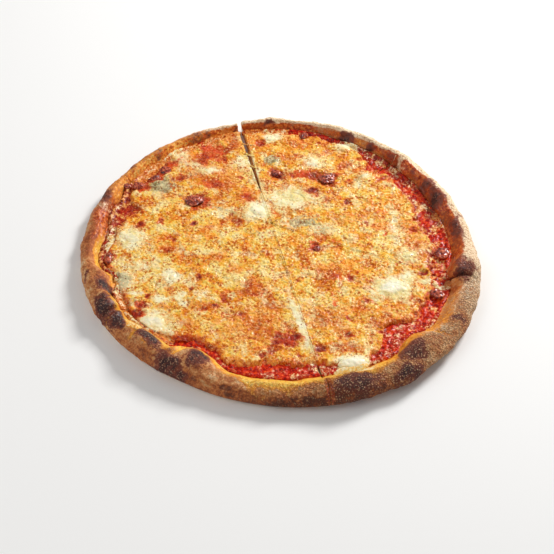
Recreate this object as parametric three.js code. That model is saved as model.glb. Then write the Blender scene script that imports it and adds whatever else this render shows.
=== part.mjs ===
// A round four cheese pizza, baked and cut into six slices that lie together in the pizza's own shape.
// Each slice is a dough base with a puffed rim, a layer of tomato sauce and a layer of melted cheese.
// Pieces of mozzarella and of gorgonzola lie half melted on the cheese, between two large blisters of sauce.
// Millimetres, +Z up. The origin is on the underside, at the middle of the pizza, and +Y points to its back.
import * as THREE from 'three';

// The whole pizza. Its outline is a circle with an oval swell and a three-lobed one.
const DIAMETER = 303;
const OVAL = { size: 3.3, bearing: -48 };
const THREE_LOBED = { size: 2.3, bearing: -44 };
const OUTLINE_CENTRE = new THREE.Vector2(1.3, -1.47);

// Layers, from the underside up. Neighbouring pieces keep a small gap.
const BASE_THICKNESS = 3.6;
const SAUCE_THICKNESS = 0.9;
const CHEESE_THICKNESS = 2.3;
const GAP = 0.3;
const SAUCE_BOTTOM = BASE_THICKNESS + GAP;
const CHEESE_BOTTOM = SAUCE_BOTTOM + SAUCE_THICKNESS + GAP;

// The rim is wider and higher towards the front right, where its outside also curls up off the table.
// The ridge, the widest point and the foot are at shares of the rim's width and height,
// and a larger hollow makes the slope from the toppings up to the ridge more dished.
const RIM_WIDTH = { mean: 17, swell: 8.5, bearing: 292 };
const RIM_HEIGHT = { mean: 13.2, swell: 2.2, bearing: 300 };
const RIDGE_AT = 0.48;
const WIDEST_AT = 0.4;
const FOOT_AT = 0.32;
const RIM_HOLLOW = 1.6;
const CURL = { bearing: 314, span: 22, lift: 3.5, footAt: 0.3 };

// Bubbles in the rim: bearing and half span in degrees, rise in height, reach towards the middle.
const BUBBLES = [
  { bearing: 28, span: 4, rise: 2.5, reach: 1 },
  { bearing: 48, span: 3.5, rise: 2, reach: 0 },
  { bearing: 61, span: 4, rise: 1.5, reach: 1 },
  { bearing: 70, span: 5, rise: 1.5, reach: 2 },
  { bearing: 94, span: 4, rise: 2, reach: 1 },
  { bearing: 120, span: 4, rise: 1, reach: 2 },
  { bearing: 134, span: 4, rise: 1, reach: 2 },
  { bearing: 158, span: 4, rise: 2, reach: 4 },
  { bearing: 173, span: 7, rise: -1, reach: 6 },
  { bearing: 196, span: 4, rise: 4.5, reach: 10 },
  { bearing: 206, span: 4.5, rise: 3, reach: 1 },
  { bearing: 225, span: 5, rise: 4, reach: 4 },
  { bearing: 234, span: 3, rise: 2.5, reach: 0 },
  { bearing: 239, span: 3, rise: 2, reach: 8 },
  { bearing: 244, span: 4.5, rise: 3.5, reach: 8 },
  { bearing: 281, span: 4, rise: 1, reach: 3 },
  { bearing: 291, span: 6, rise: 4.5, reach: 3 },
  { bearing: 303, span: 4, rise: 1, reach: 3 },
  { bearing: 317, span: 6, rise: 3.5, reach: 9 },
  { bearing: 335, span: 5, rise: 1, reach: 2 },
  { bearing: 353, span: 4, rise: 6.5, reach: 4 },
];

// The cuts run out from one point behind the middle. Each is { bearing, opening at the rim in degrees }.
const CUT_POINT = new THREE.Vector2(-6.5, 29);
const CUT_WIDTH = 0.5;
const CUTS = [
  { bearing: 38, opening: 0 },
  { bearing: 104, opening: 1.8 },
  { bearing: 158, opening: 0 },
  { bearing: 221, opening: 0.2 },
  { bearing: 284, opening: 0.4 },
  { bearing: 338, opening: 0.2 },
];

// The cheese nearly reaches the rim. Where it falls short, the sauce shows as a band:
// bearing and half span in degrees, width.
const CHEESE_MARGIN = 2.5;
const BARE_SAUCE = [
  { bearing: 13, span: 14, width: 14 },
  { bearing: 38, span: 10, width: 7 },
  { bearing: 53, span: 8, width: 9 },
  { bearing: 85, span: 5, width: 3 },
  { bearing: 116, span: 5, width: 2 },
  { bearing: 143, span: 5, width: 5 },
  { bearing: 163, span: 6, width: 12 },
  { bearing: 181, span: 5, width: 4 },
  { bearing: 207, span: 4, width: 5 },
  { bearing: 234, span: 5, width: 5 },
  { bearing: 247, span: 5, width: 6 },
  { bearing: 270, span: 9, width: 11 },
  { bearing: 286, span: 5, width: 7 },
  { bearing: 313, span: 7, width: 17 },
  { bearing: 330, span: 8, width: 9 },
  { bearing: 347, span: 6, width: 13 },
];

// The top of the cheese rises and falls in broad swells.
const CHEESE_SWELL = { height: 0.35, length: 70 };

// Half melted pieces on the cheese: middle, length and width, turn in degrees, height.
// Three large lobes and five small ones make their outlines uneven, by shares of their size.
const PIECE_EDGE = 0.3;
const PIECE_LOBES = { three: 0.08, five: 0.05 };
const MOZZARELLA = [
  { x: -18, y: 43.5, length: 17, width: 14, turn: -50, height: 1.5 },
  { x: 85.5, y: -36, length: 31, width: 22, turn: 25, height: 1.6 },
  { x: 55, y: -110, length: 24, width: 12, turn: 17, height: 1.4 },
  { x: -90.5, y: -75.5, length: 25, width: 17, turn: -35, height: 1.5 },
  { x: -112.5, y: 10.5, length: 25, width: 15, turn: 5, height: 1.4 },
  { x: -79.5, y: -31, length: 13, width: 9, turn: 70, height: 1.2 },
  { x: -9, y: 129, length: 14, width: 8, turn: 5, height: 1.3 },
  { x: 50.5, y: 119, length: 18, width: 11, turn: -35, height: 1.3 },
  { x: 98, y: -2.5, length: 15, width: 12, turn: 0, height: 1.2 },
  { x: 9, y: 59, length: 26, width: 15, turn: -12, height: 1.0 },
];
const GORGONZOLA = [
  { x: -95, y: 72, length: 21, width: 13, turn: -20, height: 1.3 },
  { x: -7.5, y: 102.5, length: 17, width: 15, turn: 0, height: 1.2 },
  { x: 20, y: 33, length: 24, width: 12, turn: -12, height: 1.1 },
  { x: -114.5, y: -29.5, length: 20, width: 10, turn: -25, height: 1.1 },
];

// Sauce that boiled up through the cheese and dried to a dome.
const SAUCE_BLISTERS = [
  { x: -68, y: 52.5, length: 16, width: 12, turn: 5, height: 2.2 },
  { x: 37, y: 82, length: 14, width: 12, turn: 20, height: 2.2 },
];

// How finely the faces are laid out.
const DEGREES_PER_COLUMN = { crust: 3.6, cheese: 5 };
const RIM_STEPS = { inner: 4, upper: 4, lower: 3 };
const CHEESE_ROWS = 10;
const MOUND_SIDES = 14;
const MOUND_RINGS = [1, 0.78, 0.42];
const RAY_TURNS = 8;

const radians = THREE.MathUtils.degToRad;
const degrees = THREE.MathUtils.radToDeg;

function turnsTo(bearing, target) {
  return THREE.MathUtils.euclideanModulo(bearing - target + 180, 360) - 180;
}

function swelling({ mean, swell, bearing }, at) {
  return mean + swell * Math.cos(radians(at - bearing));
}

function outlineRadius(bearing) {
  return DIAMETER / 2
    + OVAL.size * Math.cos(radians(2 * (bearing - OVAL.bearing)))
    + THREE_LOBED.size * Math.cos(radians(3 * (bearing - THREE_LOBED.bearing)));
}

// How much of a bubble, the curl or a band of bare sauce there is at a bearing.
// It is one at the middle and fades to none.
function shareOf(place, bearing) {
  return Math.exp(-((turnsTo(bearing, place.bearing) / place.span) ** 2));
}

function rimAt(bearing) {
  const rim = {
    width: swelling(RIM_WIDTH, bearing),
    height: swelling(RIM_HEIGHT, bearing),
  };
  for (const bubble of BUBBLES) {
    const share = shareOf(bubble, bearing);
    rim.width += bubble.reach * share;
    rim.height += bubble.rise * share;
  }
  const curl = shareOf(CURL, bearing);
  rim.widest = WIDEST_AT * rim.height + CURL.lift * curl;
  rim.foot = (FOOT_AT + CURL.footAt * curl) * rim.width;
  return rim;
}

function bareSauceAt(bearing) {
  return BARE_SAUCE.reduce((width, place) => width + place.width * shareOf(place, bearing), CHEESE_MARGIN);
}

function cheeseTop(x, y) {
  const turn = 2 * Math.PI / CHEESE_SWELL.length;
  return CHEESE_BOTTOM + CHEESE_THICKNESS + CHEESE_SWELL.height * Math.sin(turn * x) * Math.cos(turn * y);
}

function towards(bearing) {
  return new THREE.Vector2(Math.cos(radians(bearing)), Math.sin(radians(bearing)));
}

// A ray is one radial line of a slice, from the slice's tip to the outside of the rim.
// Its length and the bearing of its end depend on each other, so they are worked out in turns.
function makeRay(tip, bearing) {
  const direction = towards(bearing);
  const from = tip.clone().sub(OUTLINE_CENTRE);
  const along = from.dot(direction);
  let length = DIAMETER / 2;
  let rimBearing = bearing;
  for (let turn = 0; turn < RAY_TURNS; turn += 1) {
    rimBearing = degrees(from.clone().addScaledVector(direction, length).angle());
    length = -along + Math.sqrt(along ** 2 - from.lengthSq() + outlineRadius(rimBearing) ** 2);
  }
  return { tip, direction, length, rimBearing, rim: rimAt(rimBearing) };
}

function pointOn(ray, distance, z) {
  return new THREE.Vector3(
    ray.tip.x + ray.direction.x * distance,
    ray.tip.y + ray.direction.y * distance,
    z,
  );
}

// The rays of one slice. Its tip stands back from both cuts by half the cut's width.
function makeRays(from, to, degreesPerColumn) {
  const start = from.bearing;
  const end = to.bearing > start ? to.bearing : to.bearing + 360;
  const half = (end - start) / 2;
  const back = CUT_WIDTH / 2 / Math.sin(radians(half));
  const tip = CUT_POINT.clone().addScaledVector(towards(start + half), back);
  const first = start + from.opening / 2;
  const last = end - to.opening / 2;
  const columns = Math.round((last - first) / degreesPerColumn);
  const rays = [];
  for (let column = 0; column <= columns; column += 1) {
    rays.push(makeRay(tip, first + (last - first) * column / columns));
  }
  return rays;
}

// A section is a list of [distance along the ray, height].
// It goes out over the top and back under the bottom.
function doughSection(ray) {
  const { width, height, widest, foot } = ray.rim;
  const inside = ray.length - width;
  const ridge = ray.length - RIDGE_AT * width;
  const section = [[0, BASE_THICKNESS], [inside / 2, BASE_THICKNESS], [inside, BASE_THICKNESS]];
  for (let step = 1; step <= RIM_STEPS.inner; step += 1) {
    const share = step / RIM_STEPS.inner;
    const lift = Math.sin(share * Math.PI / 2) ** RIM_HOLLOW;
    section.push([inside + (ridge - inside) * share, BASE_THICKNESS + (height - BASE_THICKNESS) * lift]);
  }
  for (let step = 1; step <= RIM_STEPS.upper; step += 1) {
    const angle = Math.PI / 2 * step / RIM_STEPS.upper;
    section.push([ridge + RIDGE_AT * width * Math.sin(angle), widest + (height - widest) * Math.cos(angle)]);
  }
  for (let step = 1; step <= RIM_STEPS.lower; step += 1) {
    const angle = Math.PI / 2 * step / RIM_STEPS.lower;
    section.push([ray.length - foot * (1 - Math.cos(angle)), widest * (1 - Math.sin(angle))]);
  }
  section.push([inside / 2, 0], [0, 0]);
  return section;
}

function sauceSection(ray) {
  const edge = ray.length - ray.rim.width - GAP;
  const top = SAUCE_BOTTOM + SAUCE_THICKNESS;
  return [[0, top], [edge - SAUCE_THICKNESS, top], [edge, SAUCE_BOTTOM], [0, SAUCE_BOTTOM]];
}

function cheeseSection(ray) {
  const edge = ray.length - ray.rim.width - bareSauceAt(ray.rimBearing);
  const shoulder = edge - CHEESE_THICKNESS;
  const section = [];
  for (let row = 0; row <= CHEESE_ROWS; row += 1) {
    const distance = shoulder * row / CHEESE_ROWS;
    const at = pointOn(ray, distance, 0);
    section.push([distance, cheeseTop(at.x, at.y)]);
  }
  section.push([edge, CHEESE_BOTTOM + CHEESE_THICKNESS / 3]);
  section.push([edge - GAP, CHEESE_BOTTOM], [0, CHEESE_BOTTOM]);
  return section;
}

// Joins the sections of all rays into one closed solid.
// The first and last points of every section are the slice's tip.
function wedge(rays, sectionOf) {
  const triangles = [];
  const rings = rays.map((ray) => sectionOf(ray).map(([distance, z]) => pointOn(ray, distance, z)));
  const count = rings[0].length;
  for (let column = 0; column < rings.length - 1; column += 1) {
    const here = rings[column];
    const next = rings[column + 1];
    for (let row = 0; row < count - 1; row += 1) {
      if (row < count - 2) triangles.push([here[row], here[row + 1], next[row + 1]]);
      if (row > 0) triangles.push([here[row], next[row + 1], next[row]]);
    }
  }
  triangles.push(...cutFace(sectionOf(rays[0]), rings[0], true));
  triangles.push(...cutFace(sectionOf(rays.at(-1)), rings.at(-1), false));
  return solidFrom(triangles);
}

function cutFace(section, ring, first) {
  const contour = section.map(([distance, z]) => new THREE.Vector2(distance, z));
  return THREE.ShapeUtils.triangulateShape(contour, []).map(([a, b, c]) => {
    const counterClockwise = THREE.ShapeUtils.area([contour[a], contour[b], contour[c]]) > 0;
    return counterClockwise === first ? [ring[a], ring[b], ring[c]] : [ring[a], ring[c], ring[b]];
  });
}

// A low mound whose underside follows the cheese, with a slightly uneven edge.
function mound({ x, y, length, width, turn, height }) {
  const middle = new THREE.Vector2(x, y);
  const rings = MOUND_RINGS.map((share) => {
    const ring = [];
    for (let side = 0; side < MOUND_SIDES; side += 1) {
      const angle = 2 * Math.PI * side / MOUND_SIDES;
      const lobes = PIECE_LOBES.three * Math.sin(3 * angle + x) + PIECE_LOBES.five * Math.sin(5 * angle + y);
      const offset = new THREE.Vector2(Math.cos(angle) * length / 2, Math.sin(angle) * width / 2)
        .multiplyScalar(share * (1 + lobes))
        .rotateAround(new THREE.Vector2(), radians(turn));
      ring.push(offset.add(middle));
    }
    return ring;
  });
  const raise = (at, lift) => new THREE.Vector3(at.x, at.y, cheeseTop(at.x, at.y) + GAP + lift);
  const liftAt = (share) => PIECE_EDGE + height * (1 - share ** 2);
  const edge = rings[0].map((at) => raise(at, 0));
  const tops = rings.map((ring, index) => ring.map((at) => raise(at, liftAt(MOUND_RINGS[index]))));
  const summit = raise(middle, liftAt(0));
  const below = raise(middle, 0);
  const triangles = [];
  const levels = [edge, ...tops];
  for (let side = 0; side < MOUND_SIDES; side += 1) {
    const next = (side + 1) % MOUND_SIDES;
    for (let level = 0; level < levels.length - 1; level += 1) {
      const lower = levels[level];
      const upper = levels[level + 1];
      triangles.push([lower[side], lower[next], upper[next]], [lower[side], upper[next], upper[side]]);
    }
    const innermost = levels.at(-1);
    triangles.push([innermost[side], innermost[next], summit], [edge[next], edge[side], below]);
  }
  return solidFrom(triangles);
}

function solidFrom(triangles) {
  return new THREE.BufferGeometry().setFromPoints(triangles.flat());
}

const crustFinish = new THREE.MeshStandardMaterial({ color: 0xb9773f, roughness: 0.75, metalness: 0 });
const sauceFinish = new THREE.MeshStandardMaterial({ color: 0xa92c12, roughness: 0.35, metalness: 0 });
const cheeseFinish = new THREE.MeshStandardMaterial({ color: 0xe9b45c, roughness: 0.4, metalness: 0 });
const mozzarellaFinish = new THREE.MeshStandardMaterial({ color: 0xf1e7c4, roughness: 0.35, metalness: 0 });
const gorgonzolaFinish = new THREE.MeshStandardMaterial({ color: 0xb7b48c, roughness: 0.45, metalness: 0 });
const blisterFinish = new THREE.MeshStandardMaterial({ color: 0x7c2c1c, roughness: 0.25, metalness: 0 });

function addPiece(group, name, geometry, finish) {
  const piece = new THREE.Mesh(geometry, finish);
  piece.name = name;
  group.add(piece);
}

function makeSlice(number) {
  const slice = new THREE.Group();
  const from = CUTS[number - 1];
  const to = CUTS[number % CUTS.length];
  const crustRays = makeRays(from, to, DEGREES_PER_COLUMN.crust);
  const cheeseRays = makeRays(from, to, DEGREES_PER_COLUMN.cheese);
  addPiece(slice, `dough_${number}`, wedge(crustRays, doughSection), crustFinish);
  addPiece(slice, `tomato_sauce_${number}`, wedge(crustRays, sauceSection), sauceFinish);
  addPiece(slice, `melted_cheese_${number}`, wedge(cheeseRays, cheeseSection), cheeseFinish);
  return slice;
}

const pizza = new THREE.Group();
for (let number = 1; number <= CUTS.length; number += 1) pizza.add(makeSlice(number));
MOZZARELLA.forEach((piece, index) => {
  addPiece(pizza, `mozzarella_${index + 1}`, mound(piece), mozzarellaFinish);
});
GORGONZOLA.forEach((piece, index) => {
  addPiece(pizza, `gorgonzola_${index + 1}`, mound(piece), gorgonzolaFinish);
});
SAUCE_BLISTERS.forEach((piece, index) => {
  addPiece(pizza, `sauce_blister_${index + 1}`, mound(piece), blisterFinish);
});

export default pizza;
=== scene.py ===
import math

import bpy
import numpy as np
from mathutils import Matrix, noise


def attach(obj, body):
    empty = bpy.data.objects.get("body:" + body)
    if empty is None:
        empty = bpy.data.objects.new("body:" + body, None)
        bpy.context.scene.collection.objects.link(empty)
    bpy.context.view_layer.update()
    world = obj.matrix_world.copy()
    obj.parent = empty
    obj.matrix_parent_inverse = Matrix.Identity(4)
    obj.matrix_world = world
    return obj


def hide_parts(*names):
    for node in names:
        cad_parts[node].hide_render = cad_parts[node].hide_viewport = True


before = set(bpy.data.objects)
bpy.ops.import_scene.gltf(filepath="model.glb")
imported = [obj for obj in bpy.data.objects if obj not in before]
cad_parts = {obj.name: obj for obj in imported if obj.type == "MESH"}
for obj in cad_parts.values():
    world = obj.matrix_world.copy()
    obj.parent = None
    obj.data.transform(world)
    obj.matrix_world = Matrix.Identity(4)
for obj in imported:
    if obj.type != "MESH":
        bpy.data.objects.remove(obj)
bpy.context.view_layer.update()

MM = 0.001


# The dough: six slices of a hand-stretched base with a puffed rim, baked on a hot stone.
# Each starts as a merged copy of its solid. Subdivision rounds it, and soft lumps swell its rim.
# Cut faces stay sharp, because the slices were cut after baking.
SLICES = range(1, 7)

# The cuts meet in one point and run outward from it, at these bearings in degrees from the right.
# A cut's sides lie within CUT_SIDE of it. Each is pushed to OVERLAP past it, which closes the cut.
CUT_POINT = (-6.5, 29)
CUT_BEARINGS = (38, 104, 158, 221, 284, 338)
BACK_CUT = 1
FRONT_CUT = 4
FAR = 999
CUT_SIDE = 1.6
OVERLAP = 0.15


def copy_of(node, name):
    bpy.ops.object.select_all(action="DESELECT")
    piece = bpy.data.objects.new(name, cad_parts[node].data.copy())
    bpy.context.collection.objects.link(piece)
    piece.data.materials.clear()
    bpy.context.view_layer.objects.active = piece
    piece.select_set(True)
    bpy.ops.mesh.customdata_custom_splitnormals_clear()
    bpy.ops.object.mode_set(mode="EDIT")
    bpy.ops.mesh.select_mode(type="EDGE")
    bpy.ops.mesh.select_all(action="SELECT")
    bpy.ops.mesh.remove_doubles(threshold=0.01 * MM)
    bpy.ops.object.mode_set(mode="OBJECT")
    return piece


def shape_with(piece, kind, **settings):
    modifier = piece.modifiers.new(kind.title(), kind)
    for setting, value in settings.items():
        setattr(modifier, setting, value)
    bpy.context.view_layer.objects.active = piece
    bpy.ops.object.modifier_apply(modifier=modifier.name)


def points_of(piece):
    points = np.zeros(len(piece.data.vertices) * 3)
    piece.data.vertices.foreach_get("co", points)
    return points.reshape(-1, 3) / MM


def normals_of(piece):
    normals = np.zeros(len(piece.data.vertices) * 3)
    piece.data.vertex_normals.foreach_get("vector", normals)
    return normals.reshape(-1, 3)


def mark(piece, name, weights):
    """Gives a piece a vertex group of the weights, rounded to fortieths and filled level by level."""
    group = piece.vertex_groups.new(name=name)
    levels = np.round(np.clip(weights, 0, 1) * 40).astype(int)
    for level in range(1, 41):
        chosen = np.flatnonzero(levels == level)
        if len(chosen):
            group.add(chosen.tolist(), level / 40, "REPLACE")


def push(piece, name, amounts, height, direction="NORMAL"):
    """Moves the marked points of a piece outward, or upward with "Z", by the given height in mm."""
    mark(piece, name, amounts)
    shape_with(piece, "DISPLACE", strength=height * MM, mid_level=0, vertex_group=name,
               direction=direction)


def paint(piece, name, amounts):
    layer = piece.data.attributes.new(name, "FLOAT", "POINT")
    layer.data.foreach_set("value", amounts.astype(np.float32))


def rise(value, low, high):
    share = np.clip((value - low) / (high - low), 0, 1)
    return share * share * (3 - 2 * share)


def places(points, spots, spread=1):
    """How much of the spots there is at each point: half at a spot's edge, or at its spread edge.

    A spot is its middle's x and y, its length and width in mm, its turn in degrees, its strength.
    """
    amount = np.zeros(len(points))
    for x, y, length, width, turn, strength in spots:
        along, across = math.cos(math.radians(turn)), math.sin(math.radians(turn))
        right, back = points[:, 0] - x, points[:, 1] - y
        u = (right * along + back * across) / (spread * length / 2)
        v = (back * along - right * across) / (spread * width / 2)
        amount = np.maximum(amount, strength * np.exp2(-((u * u + v * v) ** 1.3)))
    return amount


def cut_lines(points):
    """For each cut: how far each point lies along it and to its left, in mm."""
    lines = []
    offset = points[:, :2] - CUT_POINT
    for turn in map(math.radians, CUT_BEARINGS):
        ahead = np.array([math.cos(turn), math.sin(turn)])
        lines.append((offset @ ahead, offset[:, 1] * ahead[0] - offset[:, 0] * ahead[1]))
    return lines


def to_each_cut(points):
    """For each cut: how far each point lies from it, or far away behind its start, in mm."""
    return [np.where(along > 0, np.abs(left), FAR) for along, left in cut_lines(points)]


def cut_distance(points):
    return np.min(to_each_cut(points), axis=0)


def bearings(points):
    return np.degrees(np.arctan2(points[:, 1], points[:, 0])) % 360


def around(points, target, reach):
    """One where a point's bearing is the target, fading to none at the reach on either side."""
    return 1 - rise(np.abs((bearings(points) - target + 180) % 360 - 180), reach * 0.4, reach)


def from_edge(points):
    """How far each point of a slice's layer lies inside its outer edge, in mm."""
    offset = points[:, :2] - CUT_POINT
    radius = np.linalg.norm(offset, axis=1)
    degree = np.floor(np.degrees(np.arctan2(offset[:, 1], offset[:, 0])) % 360).astype(int)
    reach = np.zeros(360)
    np.maximum.at(reach, degree, radius)
    reach = np.max([reach, np.roll(reach, 1), np.roll(reach, -1)], axis=0)
    return reach[degree] - radius


def up_the_rim(points, normals):
    """How far each point lies outside the rim's foot, in mm and as a share of the rim's width."""
    radius = np.linalg.norm(points[:, :2], axis=1)
    degree = np.floor(bearings(points)).astype(int)
    low = (normals[:, 2] > 0.6) & (points[:, 2] > 3) & (points[:, 2] < 5)
    foot, edge = np.zeros(360), np.zeros(360)
    np.maximum.at(foot, degree[low], radius[low])
    np.maximum.at(edge, degree, radius)
    known = np.flatnonzero(foot > 90)
    foot = np.interp(degree, known, foot[known], period=360)
    return radius - foot, (radius - foot) / np.maximum(edge[degree] - foot, 1)


def uneven(points, size):
    """Soft noise between about -1 and 1, with swells of the given size in mm."""
    return np.array([noise.noise(point) for point in (points / size).tolist()]) * 1.6


def wander(points, reach, size):
    """The points moved sideways by soft noise, which makes the edges of places uneven."""
    right, back = uneven(points, size), uneven(points + 500, size)
    return points + reach * np.column_stack([right, back, 0 * right])


def close_up(piece, wide_cuts=()):
    """Pushes the sides of the cuts together, and tells which points lie on the flat cut faces.

    A wide cut is its number and how far along it, in mm, it starts to stay open.
    """
    points, normals = points_of(piece), normals_of(piece)
    gap = cut_distance(points)
    turns = [math.radians(bearing) for bearing in CUT_BEARINGS]
    facing = np.abs([normals[:, 1] * math.cos(turn) - normals[:, 0] * math.sin(turn)
                     for turn in turns])
    nearest = np.argmin(to_each_cut(points), axis=0)
    facing = facing[nearest, np.arange(len(points))]
    side = rise(facing, 0.3, 0.8) * (gap < CUT_SIDE)
    cut_face = rise(facing, 0.9, 0.99) * (gap < CUT_SIDE)
    for cut, start in wide_cuts:
        along = cut_lines(points)[cut][0]
        side *= np.where(nearest == cut, 1 - rise(along, start, start + 25), 1)
    push(piece, "sides", side * (gap + OVERLAP) / 2, 2)
    return cut_face


def grain(name, kind, size, **settings):
    texture = bpy.data.textures.new(name, kind)
    texture.noise_scale = size * MM
    for setting, value in settings.items():
        setattr(texture, setting, value)
    return texture


def colour(code):
    parts = [int(code[i:i + 2], 16) / 255 for i in (0, 2, 4)]
    return [p / 12.92 if p < 0.04045 else ((p + 0.055) / 1.055) ** 2.4 for p in parts] + [1]


class Finish:
    """A procedural finish, built up from spots, speckles and painted places."""

    def __init__(self, name, **sockets):
        self.material = bpy.data.materials.new(name)
        self.material.use_nodes = True
        self.tree = self.material.node_tree
        self.shader = self.tree.nodes["Principled BSDF"]
        for socket, value in sockets.items():
            self.shader.inputs[socket.replace("_", " ")].default_value = value
        self.where = self.tree.nodes.new("ShaderNodeTexCoord").outputs["Object"]

    def put(self, node, socket, value):
        if isinstance(value, bpy.types.NodeSocket):
            self.tree.links.new(value, node.inputs[socket])
        else:
            node.inputs[socket].default_value = value

    def painted(self, name, *added):
        node = self.tree.nodes.new("ShaderNodeAttribute")
        node.attribute_name = name
        amount = node.outputs["Fac"]
        for more in added:
            amount = self.sum("ADD", amount, more)
        return amount

    def mottle(self, size, detail=2, rough=0.5, warp=0, layer=0):
        node = self.tree.nodes.new("ShaderNodeTexNoise")
        if layer:
            node.noise_dimensions = "4D"
            self.put(node, "W", layer)
        self.put(node, "Vector", self.where)
        self.put(node, "Scale", 1 / (size * MM))
        self.put(node, "Detail", detail)
        self.put(node, "Roughness", rough)
        self.put(node, "Distortion", warp)
        return node.outputs["Fac"]

    def cells(self, size):
        node = self.tree.nodes.new("ShaderNodeTexVoronoi")
        self.put(node, "Vector", self.where)
        self.put(node, "Scale", 1 / (size * MM))
        return node.outputs["Distance"]

    def sum(self, kind, a, b=0.5, c=0.5):
        node = self.tree.nodes.new("ShaderNodeMath")
        node.operation = kind
        for socket, value in enumerate((a, b, c)):
            self.put(node, socket, value)
        return node.outputs[0]

    def ease(self, value, low, high, start=0, end=1):
        node = self.tree.nodes.new("ShaderNodeMapRange")
        node.interpolation_type = "SMOOTHSTEP"
        for socket, setting in enumerate((value, low, high, start, end)):
            self.put(node, socket, setting)
        return node.outputs[0]

    def range_of(self, value, *stops):
        node = self.tree.nodes.new("ShaderNodeValToRGB")
        ramp = node.color_ramp
        while len(ramp.elements) < len(stops):
            ramp.elements.new(0.5)
        for element, (place, code) in zip(ramp.elements, stops):
            element.position = place
            element.color = colour(code)
        self.put(node, 0, value)
        return node.outputs[0]

    def over(self, amount, below, above, how="MIX"):
        node = self.tree.nodes.new("ShaderNodeMix")
        node.data_type = "RGBA"
        node.blend_type = how
        self.put(node, 0, amount)
        self.put(node, 6, colour(below) if isinstance(below, str) else below)
        self.put(node, 7, colour(above) if isinstance(above, str) else above)
        return node.outputs[2]

    def bumps(self, height, depth, strength=1, over=None):
        node = self.tree.nodes.new("ShaderNodeBump")
        self.put(node, "Height", height)
        self.put(node, "Distance", depth * MM)
        self.put(node, "Strength", strength)
        if over is not None:
            self.put(node, "Normal", over)
        return node.outputs["Normal"]

    def done(self, base, roughness, normal):
        self.put(self.shader, "Base Color", base)
        self.put(self.shader, "Roughness", roughness)
        self.put(self.shader, "Normal", normal)
        return self.material


# The spots on the rim, as places() reads them.
CHARRED = (
    (-128, -46, 16, 12, 20, 1), (-127, -68, 24, 12, -75, 1), (-118, -80, 15, 12, -55, 1),
    (-92, -101, 23, 13, -50, 1), (-78, -123, 22, 16, -42, 1), (-69, -131, 10, 7, -30, 0.9),
    (-56, -119, 15, 12, -20, 1), (57, -138, 28, 14, 15, 1), (90, -127, 20, 11, 35, 1),
    (98, -107, 19, 14, 30, 0.75), (130, -73, 8, 10, 60, 0.7), (138, -26, 13, 15, 0, 1),
    (138, 23, 7, 26, 5, 0.8), (122, 56, 15, 15, 0, 0.95), (115, 72, 12, 12, 30, 0.7),
    (85, 103, 16, 10, -40, 0.75), (70, 118, 11, 9, 0, 0.95), (50, 128, 16, 8, -20, 0.8),
    (-11, 147, 6, 5, 0, 0.8), (-38, 140, 5, 5, 0, 1), (-66, 126, 20, 7, 25, 0.5),
    (-99, 104, 12, 7, 40, 0.4), (-116, 91, 16, 8, 50, 0.4), (-137, 50, 9, 10, 0, 0.7),
    (-123, 44, 7, 7, 0, 0.9), (-143, -34, 6, 10, 0, 0.7),
)
DOMES = (
    (-92, -101, 26, 18, -50, 1), (-54, -115, 22, 20, 0, 1), (98, -99, 26, 20, 30, 1),
    (136, -23, 15, 20, 0, 1), (-78, -122, 22, 16, -42, 0.7), (53, -138, 32, 14, 15, 0.7),
    (-127, -68, 24, 13, -75, 0.6), (-128, -46, 15, 13, 20, 0.4), (90, -126, 20, 12, 35, 0.6),
    (122, 56, 14, 14, 0, 0.6), (99, 101, 10, 12, -45, 0.6),
)
SAUCE_STAINS = ((-130, 30, 38, 32, 78, 1), (-141, 10, 50, 10, 88, 0.4), (36, -141, 6, 26, 12, 1))
SAUCE_RUN = SAUCE_STAINS[-1:]
BUBBLES = (
    (133, -24, 20, 18, 0, 1), (122, 50, 16, 14, 0, 0.9), (102, 92, 15, 11, -45, 0.8),
    (130, 22, 10, 16, 0, 0.5), (110, 75, 12, 9, -40, 0.6), (-117, 42, 12, 10, 70, 0.5),
    (58, 124, 14, 8, -25, 0.5),
)
LIPS = (
    (-119, -66, 24, 8, -55, 1), (-104, -80, 16, 8, -42, 0.9), (-80, -98, 24, 6, -58, 0.8),
    (-66, -106, 18, 6, 35, 1), (-43, -119, 20, 6, -65, 0.8),
)
CREASES = (
    (-124, -78, 20, 3, 52, 1), (-68, -110, 20, 3.5, 35, 1), (-101, -92, 18, 3, 50, 0.8),
    (118, -88, 16, 3, -10, 0.6),
)
BULGE = ((-56, -114, 26, 20, 0, 1), (97, -98, 24, 18, 30, 0.5))
CHEESED = ((57, -121, 26, 10, 14, 1), (-104, -85, 20, 8, -42, 0.5))
FLOURED = ((-137, 42, 14, 13, 0, 0.33), (-120, -30, 8, 10, 0, 0.3), (99, 101, 10, 12, -45, 0.7))

crust = Finish("baked_crust", Roughness=0.7, IOR=1.4, Subsurface_Weight=0.04)
crust.shader.inputs["Subsurface Radius"].default_value = (0.003, 0.0015, 0.001)

# From the bottom up: toasted skin with painted shade on the outward front side, fat with painted
# highlights, fried cheese, sauce, flour, burnt parts with pale specks and painted highlights, pores
# with painted shade, grain tops of flour and painted highlights, and crumbs.
broad = crust.mottle(13, 3, 0.65)
fine = crust.mottle(2.6, 3, 0.75)
grit = crust.ease(crust.mottle(1.3, 2, 0.7, layer=7), 0.35, 0.65, -0.2, 0.2)
grains = crust.sum("ADD", crust.cells(1.5), grit)
spread = crust.ease(fine, 0.36, 0.64, -0.16, 0.16)
toast_and_shade = crust.painted("toast_and_shade", crust.ease(broad, 0.35, 0.65, -0.18, 0.18), spread)
skin = crust.range_of(toast_and_shade, (0, "ecc498"), (0.25, "dca46c"), (0.5, "cc7c40"), (0.75, "a85626"),
                      (1, "5e2e1a"))
gold = crust.painted("oily", spread)
butter = crust.range_of(gold, (0.15, "bc6424"), (0.4, "e48a1e"), (0.75, "fcac2c"), (1, "fcc850"))
butter = crust.over(crust.ease(fine, 0.5, 0.38, 0, 0.5), butter, "b8641c")
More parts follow.
